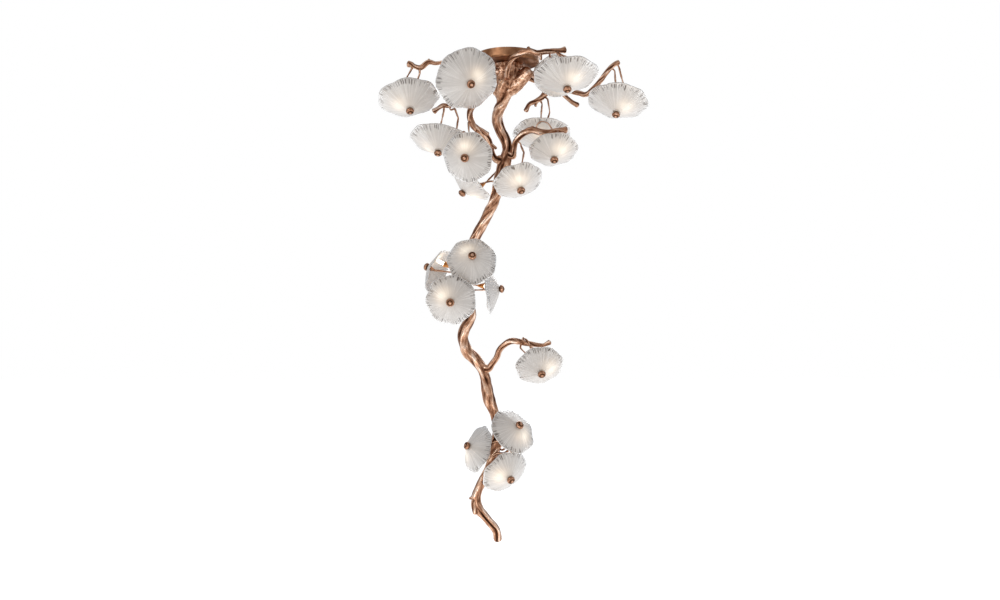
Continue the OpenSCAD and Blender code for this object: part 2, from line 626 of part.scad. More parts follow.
// The pair of twigs of one leaf: one ends in the leaf's stud, the other behind the lamp cup
module twigs(leaf) {
    leaf_foot = leaf_twig_foot(leaf);
    lamp_foot = lamp_twig_foot(leaf);
    color("#B07C55")
        hung() {
            union() {
                twig(twig_points(leaf_foot, leaf[8], leaf_twig_end(leaf), leaf_axis(leaf), leaf_lead));
                spigot(leaf_foot, twig_spigot_d, twig_spigot_l);
                in_leaf(leaf) {
                    translate([0, 0, collar_z])
                        cylinder(h = collar_h, d = collar_d);
                    translate([0, 0, collar_z])
                        cylinder(h = knob_z + knob_grip - collar_z, d = stud_d);
                }
            }
            union() {
                twig(twig_points(lamp_foot, leaf[11], lamp_back(leaf) - lamp_axis(leaf) * face_gap,
                    lamp_axis(leaf), lamp_lead));
                spigot(lamp_foot, twig_spigot_d, twig_spigot_l);
            }
        }
}

// A shallow dish with a centre hole and seven nearly straight edges
leaf_edges = 7;
module leaf(leaf) {
    r = leaf_radius(leaf);
    h = leaf_depth(leaf);
    outer = [for (p = DISH) [r * p[0], -h * p[1]]];
    inner = [for (i = [len(DISH) - 1 : -1 : 0]) [r * DISH[i][0], -h * DISH[i][1] - glass_t]];
    bore_r = stud_r + run_fit;
    color("#D8D6D3")
        hung()
            in_leaf(leaf)
                intersection() {
                    rotate_extrude($fn = 72)
                        polygon(concat([[bore_r, 0]], outer, inner, [[bore_r, -glass_t]]));
                    rotate(leaf[5])
                        translate([0, 0, -h - glass_t - 1])
                            linear_extrude(h + glass_t + 2)
                                circle(r = r * (1 - edge_cut) / cos(180 / leaf_edges), $fn = leaf_edges);
                }
}

// A ball with its back cut flat on the washer and its front cut flat for the bright middle
knob_centre = 0.55;
knob_front = 1.35;
module leaf_knobs() {
    r = knob_d / 2;
    color("#9A6238")
        hung()
            for (leaf = LEAVES)
                in_leaf(leaf)
                    translate([0, 0, knob_z])
                        difference() {
                            intersection() {
                                translate([0, 0, r * knob_centre])
                                    sphere(r = r);
                                cylinder(h = r * knob_front, r = r + 1);
                            }
                            translate([0, 0, -1])
                                cylinder(h = knob_grip + face_gap + 1, d = stud_d + 2 * spigot_fit);
                        }
}

module washer(z) {
    translate([0, 0, z])
        difference() {
            cylinder(h = washer_t, d = washer_d);
            translate([0, 0, -1])
                cylinder(h = washer_t + 2, d = stud_d + 2 * spigot_fit);
        }
}

module leaf_washers() {
    color("#5A4A3C")
        hung()
            for (leaf = LEAVES)
                in_leaf(leaf) {
                    washer(outer_washer_z);
                    washer(inner_washer_z);
                }
}

// A lamp's own frame: from the cup's back end towards the bulb's tip
module in_lamp(leaf) {
    hung()
        at_point(lamp_back(leaf), lamp_axis(leaf))
            children();
}

module lamp_cups() {
    inner_r = holder_d / 2 + spigot_fit;
    color("#C98546")
        for (leaf = LEAVES)
            in_lamp(leaf)
                rotate_extrude()
                    polygon([[0, 0], [cup_back_d / 2, 0], [cup_mouth_d / 2, cup_l],
                        [cup_mouth_d / 2 - cup_wall, cup_l], [inner_r, cup_floor()], [0, cup_floor()]]);
}

module lamp_holders() {
    color("#F0EEE8")
        for (leaf = LEAVES)
            in_lamp(leaf)
                translate([0, 0, cup_floor() + face_gap])
                    difference() {
                        cylinder(h = holder_h, d = holder_d);
                        for (side = [-1, 1])
                            translate([side * pin_spacing / 2, 0, holder_h - pin_l - 1])
                                cylinder(h = pin_l + 2, d = pin_d + 2 * spigot_fit);
                    }
}

module bulbs() {
    color("#FFF3D6")
        for (leaf = LEAVES)
            in_lamp(leaf)
                translate([0, 0, cup_floor() + holder_h + 2 * face_gap]) {
                    cylinder(h = bulb_l - bulb_d / 2, d = bulb_d);
                    translate([0, 0, bulb_l - bulb_d / 2])
                        sphere(d = bulb_d);
                    for (side = [-1, 1])
                        translate([side * pin_spacing / 2, 0, -pin_l])
                            cylinder(h = pin_l + 1, d = pin_d);
                }
}

canopy();
ceiling_bracket();
hanging_nipple();
nipple_nuts();
led_driver();
terminal_block();
trunk_upper();
trunk_middle();
trunk_lower();
for (i = [0 : len(BRANCHES) - 1])
    branch(i);
for (l = LEAVES) {
    twigs(l);
    leaf(l);
}
leaf_knobs();
leaf_washers();
lamp_cups();
lamp_holders();
bulbs();
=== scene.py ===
"""Branch chandelier: cast copper branches, ribbed frosted glass leaves, ball knobs and small warm
lamps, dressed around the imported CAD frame."""
import math
from collections import namedtuple

import bpy
import numpy as np
from mathutils import Matrix, Vector, noise


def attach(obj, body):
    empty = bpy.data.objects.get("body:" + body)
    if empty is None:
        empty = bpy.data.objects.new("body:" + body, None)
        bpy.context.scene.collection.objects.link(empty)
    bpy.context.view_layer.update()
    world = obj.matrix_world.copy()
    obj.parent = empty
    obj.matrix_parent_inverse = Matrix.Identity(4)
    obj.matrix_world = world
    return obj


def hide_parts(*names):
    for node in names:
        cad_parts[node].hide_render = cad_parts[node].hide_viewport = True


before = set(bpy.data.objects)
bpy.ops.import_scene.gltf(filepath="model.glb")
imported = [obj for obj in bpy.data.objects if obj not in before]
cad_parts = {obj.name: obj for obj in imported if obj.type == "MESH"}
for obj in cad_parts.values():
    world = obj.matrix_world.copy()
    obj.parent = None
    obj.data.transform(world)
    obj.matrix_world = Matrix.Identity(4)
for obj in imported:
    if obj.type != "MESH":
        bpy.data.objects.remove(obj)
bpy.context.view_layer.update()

ROOT = "branch_frame"  # the body of everything that doesn't turn

# Sizes in mm, as in the part's source
MM = 0.001
CANOPY_H = 28
TRUNK_R, BRANCH_R, TWIG_R = 16, 8, 2.75
FOOT_GAP, FOOT_LEAD = 0.8, 9
SIZES = {"large": (99, 42), "small": (78, 33)}  # radius and depth of a leaf
LEAF_EDGES, GLASS_T = 7, 4
BULB_L, LAMP_L = 27, 48.5
STUD_SHOWN_R = 2.95  # a hair under the real 3, so that it clears the bore of the glass

# Sizes in mm that only the scene has
TRUNK_STEP, BRANCH_STEP, TWIG_BARK_STEP = 2.8, 1.9, 1.7  # from one ring of points to the next
TWIG_STEP, TWIG_BEND = 1.6, 3.2  # from point to point of a twig, and the width of its bends
ROOT_CRUMPLED_TO, ARM_CRUMPLED_TO = 105.0, 200  # how far the root's crumpled bark reaches
KNOB_PROFILE = [  # radius, height over the apex, and how light its colour is: real wear, with painted shade in the neck and at the foot and a painted highlight on the bulge
    (6.5, 1.8, 0.3), (9.5, 2.0, 0.45), (11.6, 3.6, 0.6), (12.8, 6.2, 0.75), (12.9, 8.4, 0.85),
    (12.0, 11.2, 0.85), (10.2, 13.4, 0.8), (8.2, 14.6, 0.5), (7.2, 14.2, 0.15), (6.4, 14.5, 0.2),
    (5.6, 15.7, 0.6), (4.0, 16.9, 0.8), (2.0, 17.4, 0.9), (0.6, 17.5, 0.9)]
COLLAR_PROFILE = [(r, z, 0.65) for r, z in (
    (2.9, -21.0), (3.4, -18.0), (4.6, -15.4), (6.2, -13.2), (6.5, -12.2), (6.5, -6.2), (6.2, -5.8),
    (3.0, -5.7))]
STUD_PROFILE = [(STUD_SHOWN_R, -6.0, 0.6), (STUD_SHOWN_R, 10.0, 0.6)]
STUD_BACK, TWIG_LEAD, LAMP_LEAD = 8.5, 14, 8  # a twig's end, and its straight run up to there
RIBS, COLUMNS_PER_RIB = {"large": 108, "small": 84}, 5
EDGE_SHARE, CORNER_SHARPNESS, RIM_MOST = 0.95, 60, 0.996  # of a leaf's radius
RIB_DEPTH, CUT_DEPTH = 0.55, 1.2  # of a leaf's ribs and of the cuts in its rim
GLOW_CORE, GLOW_HALO = 21, 58  # reach of the warm light painted on a leaf near its lamp, and of its halo

# Routes and places in mm, from the centre of the canopy's underside, as in the part's source.
# A row of a route is x, y, z and the thickness there as a share of the radius.
TRUNK = [
    [0, 0, 0, 2.7], [2, 0, -30, 2.7], [-4, 0, -62, 2.65], [-14, 0, -84, 2.3], [-15, 0, -105, 1.5],
    [-19, 2, -126, 1.08], [-31, 5, -150, 1.05], [-33, 6, -180, 1.05], [-24, 4, -210, 1.08],
    [-8, -2, -244, 1], [-1, -6, -275, 0.95], [-6, -8, -300, 1.15], [-12, -6, -322, 1.25],
    [-20, -3, -342, 1.1], [-29, 0, -375, 1.05], [-35, 2, -410, 1], [-50, 4, -450, 0.97],
    [-73, 6, -498, 1], [-97, 6, -540, 0.95], [-120, 5, -590, 0.95], [-134, 3, -640, 0.95],
    [-141, 0, -690, 1], [-136, -2, -725, 0.9], [-127, -4, -757, 0.88], [-116, -4, -795, 0.88],
    [-122, -2, -820, 0.95], [-136, 0, -845, 1.05], [-144, 2, -870, 1.05], [-141, 3, -893, 1.05],
    [-130, 3, -920, 1.12], [-104, 2, -946, 1.1], [-84, 0, -975, 0.95], [-73, -1, -1005, 0.95],
    [-66, -2, -1043, 1.1], [-58, -4, -1080, 1.15], [-45, -5, -1112, 0.92], [-39, -4, -1145, 0.82],
    [-36, -2, -1178, 0.85], [-35, 0, -1200, 1.15], [-42, 2, -1230, 1.15], [-49, 4, -1262, 1.08],
    [-60, 4, -1298, 0.95], [-79, 2, -1330, 0.88], [-95, 0, -1360, 0.85], [-103, -1, -1385, 0.92],
    [-100, -2, -1408, 0.88], [-90, -3, -1428, 0.95], [-75, -4, -1445, 0.82], [-58, -5, -1465, 0.8],
    [-38, -6, -1490, 0.82], [-32, -6, -1520, 0.75]]

# Name, the trunk's row that the foot stands at, and the route from there on
BRANCHES = [
    ["branch_top_left", 1, [[-88, -50, -25, 1], [-135, -55, -14, 0.85], [-177, -50, -6, 0.75],
        [-202, -45, -5, 0.7], [-228, -42, -8, 0.75], [-252, -40, -4, 0.95], [-275, -40, -21, 1],
        [-294, -40, -18, 0.85], [-306, -40, -12, 1.1], [-314, -40, -10, 1.1]]],
    ["branch_left", 3, [[-74, 30, -86, 1], [-116, 40, -97, 0.95], [-156, 45, -112, 0.9],
        [-190, 42, -124, 0.85], [-211, 40, -124, 0.9], [-227, 38, -134, 0.75],
        [-239, 36, -143, 1]]],
    ["branch_lower_left", 11.6, [[-51, -5, -289, 1.2], [-55, -15, -270, 1.15],
        [-67, -30, -242, 1.3], [-89, -45, -224, 1.3], [-110, -50, -205, 1.25],
        [-120, -50, -180, 1.2], [-117, -45, -153, 1.15], [-99, -40, -134, 1.05],
        [-89, -40, -129, 0.9]]],
    ["branch_top_right", 1.6, [[0, -80, -30, 1], [14, -115, -11, 0.95], [38, -135, -1, 0.95],
        [62, -140, 5, 1], [87, -142, -3, 1], [111, -145, 0, 1], [135, -148, 1, 0.95],
        [157, -150, 2, 0.85], [171, -150, 4, 1.05]]],
    ["branch_right", 1.4, [[52, 35, -30, 1.65], [82, 60, -18, 1.3], [122, 85, -20, 1.1],
        [160, 98, -34, 1.05], [189, 95, -54, 1], [214, 80, -69, 1], [236, 60, -80, 1],
        [254, 40, -88, 1], [271, 20, -78, 1], [288, 5, -63, 1], [307, 0, -38, 0.95],
        [326, 0, -14, 0.95], [342, 0, 0, 0.9], [354, 0, 6, 0.8]]],
    ["branch_back", 2, [[12, 80, -30, 1], [50, 115, -14, 0.95], [90, 135, -20, 0.95],
        [125, 145, -37, 1], [141, 140, -52, 1.1], [125, 138, -64, 1.2], [112, 135, -78, 1.1],
        [92, 132, -91, 0.95], [72, 128, -102, 0.85], [61, 124, -123, 0.85]]],
    ["branch_right_lower", 10.7, [[20, -20, -274, 1], [23, -26, -254, 1.1], [35, -30, -239, 1.15],
        [53, -34, -225, 1.2], [75, -37, -218, 1.3], [101, -40, -225, 1.25],
        [126, -42, -227, 1.1], [151, -44, -221, 0.95], [170, -45, -219, 0.9],
        [182, -45, -219, 1.15]]],
    ["branch_lone", 31.2, [[-51, -5, -959, 1.15], [-36, -10, -937, 1.15], [-29, -12, -917, 1.15],
        [-16, -14, -901, 1.15], [6, -15, -887, 1.2], [32, -15, -887, 1.15],
        [60, -15, -893, 1.1], [86, -15, -897, 0.9], [112, -15, -898, 0.7],
        [132, -15, -890, 0.95]]]]

# What it is cast in one with, by its place in BRANCHES or -1 for the trunk, and its route
SHOOTS = [
    [4, [[160, 98, -36, 0.8], [172, 102, -62, 0.9], [193, 100, -83, 0.85], [212, 97, -100, 0.85],
        [231, 95, -111, 0.95]]],
    [6, [[88, -38, -218, 0.28], [93, -39, -200, 0.28], [107, -41, -192, 0.28],
        [127, -42, -199, 0.28], [141, -43, -222, 0.28]]],
    [0, [[-252, -40, -5, 0.7], [-250, -40, 5, 0.4]]],
    [2, [[-106, -49, -211, 1], [-84, -50, -222, 1], [-65, -50, -234, 0.85]]],
    [2, [[-59, -22, -257, 0.8], [-38, -22, -273, 0.5]]],
    [2, [[-79, -40, -231, 0.4], [-112, -42, -240, 0.35], [-142, -40, -227, 0.7]]],
    [3, [[62, -140, 5, 0.8], [61, -140, 15, 0.5]]],
    [3, [[98, -143, -4, 0.6], [99, -143, -24, 0.4]]],
    [3, [[146, -149, 1, 0.7], [158, -149, -15, 0.6]]],
    [5, [[98, 133, -88, 0.6], [93, 133, -106, 0.45]]],
    [6, [[79, -38, -218, 0.7], [77, -38, -207, 0.4]]],
    [7, [[44, -15, -889, 0.55], [49, -15, -874, 0.25]]],
    [7, [[48, -16, -877, 0.32], [60, -24, -882, 0.28], [68, -25, -896, 0.28],
        [71, -22, -909, 0.25]]],
    [-1, [[-8, -4, -92, 1.2], [20, -16, -74, 1.35], [46, -30, -50, 1.25], [62, -38, -34, 1.1]]],
    [-1, [[-38, 0, -1214, 0.38], [-60, 0, -1207, 0.25]]],
    [-1, [[-35, 0, -1215, 0.38], [-16, -2, -1210, 0.3]]],
    [-1, [[-103, -1, -1384, 0.5], [-123, -1, -1390, 0.2]]],
    [-1, [[-104, -6, -1378, 0.5], [-110, -10, -1405, 0.48], [-104, -13, -1434, 0.46]]],
    [-1, [[-34, -6, -1512, 0.45], [-41, -6, -1519, 0.4]]],
    [-1, [[-46, -8, -1210, 0.32], [-35, -20, -1204, 0.24], [-16, -16, -1208, 0.24],
        [0, -9, -1222, 0.24], [14, -8, -1246, 0.2]]],
    [-1, [[-60, -6, -1260, 0.32], [-36, -18, -1244, 0.24], [-16, -17, -1243, 0.24],
        [-5, -13, -1240, 0.24], [4, -9, -1230, 0.2]]]]

# Number, size, centre of the rim, and degrees tilted down, turned right and spun about the axis.
# Then for the leaf's twig and the lamp's twig: branch or -1, row of its foot, and bends on the way.
# Last, in the leaf's own frame, the bulb's tip and a point on its axis behind it.
LEAVES = [
    ["01", "large", [-314, -40, -118], 65, 18, 10, 0, 8.2, [], 0, 9.4, [],
        [-20, 0, -34], [-16, 4, -90]],
    ["02", "large", [-127, -120, -77], 31, 19, 40, 0, 3.3, [], 0, 2.5, [],
        [16, 14, -26], [20, 14, -90]],
    ["03", "large", [172, -190, -82], 71, 9, 20, 3, 7.6, [], 3, 8.6, [],
        [12, 20, -28], [8, 24, -90]],
    ["04", "small", [157, -5, -41], 45, -5, 0, 4, 4.3, [], 4, 5.2, [],
        [10, -20, -22], [16, -26, -80]],
    ["05", "large", [349, -20, -124], 67, -25, 30, 4, 13.2, [], 4, 14.5, [],
        [20, 4, -30], [18, 8, -90]],
    ["06", "large", [-220, 40, -236], 68, -18, 5, 1, 5.0, [[-172, 40, -134], [-161, 40, -165],
        [-166, 38, -200]], 1, 5.8, [], [-22, 0, -36], [-4, 6, -90]],
    ["07", "small", [-123, -150, -321], 13, -12, 15, 2, 5.3, [[-89, -105, -289]], 2, 6.4, [],
        [-3, 22, -22], [-3, 30, -80]],
    ["08", "small", [-123, 30, -380], 50, -73, 0, -1, 14.1, [], -1, 13.2, [],
        [0, -22, -24], [0, -38, -80]],
    ["09", "large", [115, 140, -198], 68, -4, 25, 5, 7.4, [[141, 134, -126]],
        5, 8.3, [], [-3, 22, -44], [-3, 20, -100]],
    ["10", "small", [140, -90, -290], 58, 4, 12, 6, 7.7, [], 6, 9.2, [],
        [14, 14, -26], [14, 26, -80]],
    ["11", "small", [30, -110, -389], 52, 21, 35, -1, 12.2, [], 6, 3.3,
        [[41, -32, -268], [50, -44, -290]], [-12, 16, -26], [20, 10, -80]],
    ["12", "small", [-112, -110, -635], -21, 3, 20, -1, 19.9, [], -1, 18.8, [],
        [-12, 18, -22], [-14, 30, -80]],
    ["13", "small", [-226, 10, -664], -23, -108, 8, -1, 20.6, [], -1, 19.6, [],
        [8, 33, -20], [6, 31, -66]],
    ["14", "small", [-174, -150, -755], 11, -1, 28, -1, 22.5, [], -1, 23.4, [],
        [-18, 12, -22], [-20, 16, -80]],
    ["15", "small", [-61, 10, -723], -5, 84, 18, -1, 22.1, [], -1, 21.2, [],
        [24, 10, -24], [34, 20, -80]],
    ["16", "small", [100, -20, -965], 36, 10, 22, 7, 7.4, [], 7, 8.6, [],
        [22, 2, -24], [20, 16, -80]],
    ["17", "small", [15, -60, -1166], -34, 38, 10, -1, 37.2, [], -1, 38.9, [],
        [12, -18, -24], [16, -22, -80]],
    ["18", "small", [-98, 15, -1234], -19, -60, 33, -1, 39.4, [], -1, 40.3, [],
        [-16, -16, -24], [-18, -18, -80]],
    ["19", "small", [-10, -70, -1292], 29, 31, 14, -1, 39.9, [], -1, 40.9, [],
        [-20, 0, -24], [-22, 4, -80]]]

# Dish section: share of the radius, and share of the depth that it has dropped there
DISH = [[0.17, 0], [0.33, 0.16], [0.55, 0.42], [0.78, 0.72], [1, 1]]

UPPER_JOINT, LOWER_JOINT = 21, 38  # rows of the trunk where its three lengths meet
SEAM_LAP, TIP_LAP = 0.06, 0.01  # how far a length of trunk runs on, in rows

Leaf = namedtuple("Leaf", "number size centre down right spin twig_from twig_row twig_bends "
                          "lamp_from lamp_row lamp_bends bulb_tip lamp_back")
leaves = [Leaf(*row) for row in LEAVES]


# Curves and routes

def along(route, u):
    """Point and thickness on the smooth curve through a route's rows."""
    i = min(max(int(math.floor(u)), 0), len(route) - 2)
    t = u - i
    b, c = route[i], route[i + 1]
    a = route[i - 1] if i else 2 * b - c
    d = route[i + 2] if i + 2 < len(route) else 2 * c - b
    return b + 0.5 * t * (c - a + t * (2 * a - 5 * b + 4 * c - d + t * (3 * b - a - 3 * c + d)))


def unit(v):
    return v / np.linalg.norm(v)


def heading(route, u):
    return unit((along(route, u + 0.01) - along(route, u - 0.01))[:3])


def foot(route, r, u, target):
    """Where a shoot stands on its parent's bark: centre line point, direction and radius."""
    p, axis = along(route, u), heading(route, u)
    side = np.array(target, float) - p[:3]
    return p[:3], unit(side - axis * (side @ axis)), r * p[3]


def branch_route(rows, parent_row):
    """A branch's own rows, with its foot on the trunk and a short lead straight out of it."""
    centre, out, r = foot(trunk, TRUNK_R, parent_row, rows[0][:3])
    start = centre + out * (r + FOOT_GAP)
    lead = 0.4 * np.linalg.norm(rows[0][:3] - start)
    thick = rows[0][3]
    return np.array([[*start, thick], [*(start + lead * out), thick], *rows])


def parent_of(index):
    return (trunk, TRUNK_R) if index < 0 else (branch_routes[index], BRANCH_R)


def leaf_place(leaf):
    """A leaf's turn, with its axis out through the knob, and the place of its apex."""
    turn = (Matrix.Rotation(math.radians(leaf.right), 3, "Z")
            @ Matrix.Rotation(math.radians(90 + leaf.down), 3, "X"))
    axis = turn @ Vector((0, 0, 1))
    apex = Vector(leaf.centre) + axis * SIZES[leaf.size][1]
    return np.array(turn), np.array(apex)


def in_leaf(leaf, v):
    turn, apex = leaf_place(leaf)
    return turn @ np.array(v, float) + apex


def lamp_line(leaf):
    """The bulb's tip, the lamp's axis, and the back of its cup."""
    tip, behind = in_leaf(leaf, leaf.bulb_tip), in_leaf(leaf, leaf.lamp_back)
    axis = unit(tip - behind)
    return tip, axis, tip - axis * LAMP_L


trunk = np.array(TRUNK, float)
branch_routes = [branch_route(np.array(rows, float), row) for _, row, rows in BRANCHES]


# Meshes

def mesh_piece(name, verts_mm, faces, body, slot, node, material, **values):
    """A piece from points in mm, in the place of a CAD node, with values for its material at each
    point."""
    mesh = bpy.data.meshes.new(name)
    verts = (verts_mm + [0, 0, -CANOPY_H]) * MM
    mesh.from_pydata(verts.tolist(), [], faces)
    for key, data in values.items():
        kind, field = ("FLOAT_VECTOR", "vector") if data.ndim == 2 else ("FLOAT", "value")
        mesh.attributes.new(key, kind, "POINT").data.foreach_set(field, data.ravel())
    mesh.validate()
    mesh.update()
    mesh.polygons.foreach_set("use_smooth", [True] * len(mesh.polygons))
    mesh.materials.append(material)
    piece = bpy.data.objects.new(name, mesh)
    bpy.context.scene.collection.objects.link(piece)
    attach(piece, body)
    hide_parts(node)


def ring_faces(rings, columns):
    """Quads between closed rings of points."""
    faces = []
    for i in range(rings - 1):
        for k in range(columns):
            a, b = i * columns + k, i * columns + (k + 1) % columns
            faces.append((a, b, b + columns, a + columns))
    return faces


def rod_faces(rings, sides):
    """Quads between rings, and a fan of triangles to each of the two end points after them."""
    n = rings * sides
    after = [(k + 1) % sides for k in range(sides)]
    return (ring_faces(rings, sides) + [(n, after[k], k) for k in range(sides)]
            + [(n + 1, n - sides + k, n - sides + after[k]) for k in range(sides)])


def run_of(points):
    """The distance of each point from the first one, along the line."""
    return np.concatenate([[0], np.cumsum(np.linalg.norm(np.diff(points, axis=0), axis=1))])


def even_route(route, step, grow_end):
    """Rows at even steps along a route, the distance of each from the start, and its place among
    the route's own rows. The end may grow on by some mm, for a rounded tip."""
    us = np.linspace(0, len(route) - 1, 24 * (len(route) - 1) + 1)
    pts = np.array([along(route, u) for u in us])
    if grow_end:
        tip = pts[-1].copy()
        tip[:3] += unit(pts[-1, :3] - pts[-2, :3]) * grow_end
        pts = np.vstack([pts, tip])
        us = np.append(us, us[-1] + 1e-3)
    s = run_of(pts[:, :3])
    even = np.linspace(0, s[-1], max(6, int(s[-1] / step)) + 1)
    rows = np.stack([np.interp(even, s, pts[:, k]) for k in range(4)], 1)
    return rows, even, np.interp(even, s, us)


def carried_sides(points):
    """Two directions across a line, turned as little as possible from one point to the next."""
    ahead = np.gradient(points, axis=0)
    ahead /= np.linalg.norm(ahead, axis=1)[:, None]
    side = np.array([0.0, 1, 0]) if abs(ahead[0][1]) < 0.9 else np.array([1.0, 0, 0])
    sides = []
    for h in ahead:
        side = unit(side - h * (side @ h))
        sides.append(side)
    return np.array(sides), np.cross(ahead, sides)


def noise_at(x, y, z):
    return noise.noise(Vector((x, y, z)))


def bark_relief(s, angles, twist, seed, strength, crumple):
    """Relief of the cast bark as a share of the radius, and the share from 0 to 1 that sets its
    colour: real wear, with painted shade in the hollows and painted highlights on the ridges.
    Two strands twist round each other, with long wrinkles on them. The root is crumpled instead."""
    rows = np.zeros((len(s), len(angles)))
    for i, d in enumerate(s):
        turn = d / twist
        sway = 0.6 * math.sin(d / 61 + seed) + 0.35 * math.sin(d / 27 + 2 * seed)
        depth = 0.65 + 0.45 * math.sin(d / 74 + seed)
        for k, a in enumerate(angles):
            w = a - turn - sway
            c, q = math.cos(w), math.sin(w)
            valley = -0.16 * depth * math.exp(-((q / 0.26) ** 2))
            body = 0.05 * math.sin(3 * w + 1.3 + math.sin(d / 45)) + 0.03 * math.sin(5 * w - d / 33)
            wrinkle = noise_at(c * 2.1 + seed, q * 2.1, d / 48)
            knuckle = noise_at(c * 1.7, q * 1.7 - seed, d / 21)
            fine = noise_at(c * 5.2, q * 5.2 + seed, d / 17)
            calm = valley + body + 0.16 * (0.25 - abs(wrinkle)) + 0.07 * knuckle + 0.04 * fine
            ca, qa = math.cos(a), math.sin(a)
            fold = abs(noise_at(ca * 3.1, qa * 3.1 + seed, d / 15))
            dent = abs(noise_at(ca * 6.5 + seed, qa * 6.5, d / 7))
            rough = 0.03 + 0.22 * (0.2 - fold) + 0.10 * (0.2 - dent)
            rows[i, k] = calm * (1 - crumple[i]) + (rough + 0.35 * calm) * crumple[i]
    # The colour share paints shade in the hollows and highlights on the ridges, over real wear
    return rows * strength, np.clip(0.62 + rows * 3.5, 0, 1)


def bark(route, radius, step, sides, twist, seed, strength=1.0, start_in=0.0, flare=0.0,
         ball=0.0, crumple_to=0.0, section=None, tip=True):
    """A length of cast branch: rings along its route, with the bark's relief on them. It may start
    inside its parent, flare at its foot, swell at its end and be crumpled near its start. A
    section shows only the rings between two rows of the route."""
    rows, s, us = even_route(route, step, 0.7 * radius * route[-1][3] if tip else 0)
    if start_in:
        back = unit(rows[0, :3] - rows[2, :3])
        shares = np.array([1, 0.66, 0.33])
        more = np.array([[*(rows[0, :3] + back * start_in * t), rows[0, 3]] for t in shares])
        rows = np.vstack([more, rows])
        s = np.concatenate([s[0] - start_in * shares, s])
        us = np.concatenate([[us[0]] * len(shares), us])
    angles = np.arange(sides) * 2 * math.pi / sides
    side, other = carried_sides(rows[:, :3])
    crumple = np.exp(-((s / crumple_to) ** 2)) if crumple_to else np.zeros(len(s))
    if section:
        keep = (us >= section[0] - 1e-6) & (us <= section[1] + 1e-6)
        rows, s, side, other, crumple = (x[keep] for x in (rows, s, side, other, crumple))
    relief, wear_and_shading = bark_relief(s, angles, twist, seed, strength, crumple)
    r = radius * rows[:, 3]
    if flare:
        r = r * (1 + flare * np.exp(-np.clip(s, 0, None) / (0.9 * radius)))
    if ball:
        r = r * (1 + ball * np.exp(-((s[-1] - s) / (1.5 * radius)) ** 2))
    if tip and (section is None or section[1] > len(route) - 2):
        left = (s[-1] - s) / (0.75 * r[-1])
        r = r * np.sqrt(1 - np.clip(1 - left, 0, 1) ** 2 * 0.985)
    ring = (np.cos(angles)[None, :, None] * side[:, None, :]
            + np.sin(angles)[None, :, None] * other[:, None, :])
    verts = rows[:, None, :3] + ring * (r[:, None] * (1.03 + relief))[:, :, None]
    flow = np.stack([np.cos(angles)[None] * r[:, None], np.sin(angles)[None] * r[:, None],
                     np.repeat(s[:, None], sides, 1)], 2)
    return dict(verts=np.vstack([verts.reshape(-1, 3), rows[0, :3], rows[-1, :3]]),
                faces=rod_faces(len(rows), sides),
                flow=np.vstack([flow.reshape(-1, 3), [0, 0, s[0]], [0, 0, s[-1]]]),
                wear_and_shading=np.append(wear_and_shading.ravel(), [0.5, 0.6]))


def lathe(profile, turn, origin, sides):
    """A turned form from rows of radius, height along the axis, and how light its colour is there:
    real wear, with painted shade and painted highlight.
    """
    angles = np.arange(sides) * 2 * math.pi / sides
    local = np.vstack([np.stack([np.cos(angles) * r, np.sin(angles) * r, np.full(sides, z)], 1)
                       for r, z, _ in profile])
    ends = [turn @ np.array([0, 0, z]) + origin for z in (profile[0][1], profile[-1][1])]
    return dict(verts=np.vstack([local @ turn.T + origin, *ends]),
                faces=rod_faces(len(profile), sides),
                flow=np.vstack([local, np.zeros((2, 3))]),
                wear_and_shading=np.append(np.repeat([row[2] for row in profile], sides), [0.7, 0.7]))


def join_parts(name, parts, node, slot, material):
    """One piece from several bark or lathe parts that are cast in one."""
    faces, base = [], 0
    for p in parts:
        faces += [tuple(i + base for i in f) for f in p["faces"]]
        base += len(p["verts"])
    mesh_piece(name, np.vstack([p["verts"] for p in parts]), faces, ROOT, slot, node, material,
               patina=np.concatenate([p["wear_and_shading"] for p in parts]),
               bark_flow=np.vstack([p["flow"] for p in parts]))


# Materials

def linear(colour):
    """An sRGB hex colour as linear RGBA."""
    parts = [int(colour[i:i + 2], 16) / 255 for i in (1, 3, 5)]
    return [p / 12.92 if p <= 0.04045 else ((p + 0.055) / 1.055) ** 2.4 for p in parts] + [1.0]


def add(owner, kind, inputs=None, stops=(), **settings):
    """Adds a node, with its settings, with a number or a link for each named input, and with the
    stops of a ramp: the two ends first, each a place and a hex colour or a number."""
    n = owner.node_tree.nodes.new(kind)
    for key, value in settings.items():
        setattr(n, key, value)
    for key, value in (inputs or {}).items():
        if isinstance(value, bpy.types.NodeSocket):
            owner.node_tree.links.new(value, n.inputs[key])
        else:
            n.inputs[key].default_value = value
    for i, (at, colour) in enumerate(stops):
        n.color_ramp.interpolation = "EASE"
        e = n.color_ramp.elements[i] if i < 2 else n.color_ramp.elements.new(at)
        e.position = at
        e.color = linear(colour) if isinstance(colour, str) else [colour] * 3 + [1]
    return n


def new_material(name):
    mat = bpy.data.materials.new(name)
    mat.use_nodes = True
    mat.node_tree.nodes.clear()
    return mat


def finish_material(mat, sockets):
    shader = add(mat, "ShaderNodeBsdfPrincipled", sockets)
    add(mat, "ShaderNodeOutputMaterial", {"Surface": shader.outputs["BSDF"]})
    return mat


def object_mm(mat, pattern_mm):
    """Object coordinates in which 1 is the size of a pattern in mm."""
    place = add(mat, "ShaderNodeTexCoord").outputs["Object"]
    scale = [1 / MM / pattern_mm] * 3
    return add(mat, "ShaderNodeMapping", {"Vector": place, "Scale": scale}).outputs["Vector"]


# Painted shade in the hollows to painted highlight on the ridges, with real wear. The two ends of a
# ramp come first
COPPER = [(0.0, "#2B190F"), (1.0, "#EFD3BF"), (0.3, "#67412D"), (0.55, "#A5785D"),
          (0.8, "#D2A98D")]
DARK_BRONZE = [(0.0, "#1C110B"), (1.0, "#DDB59C"), (0.3, "#43291B"), (0.6, "#735038"),
               (0.85, "#A97C62")]


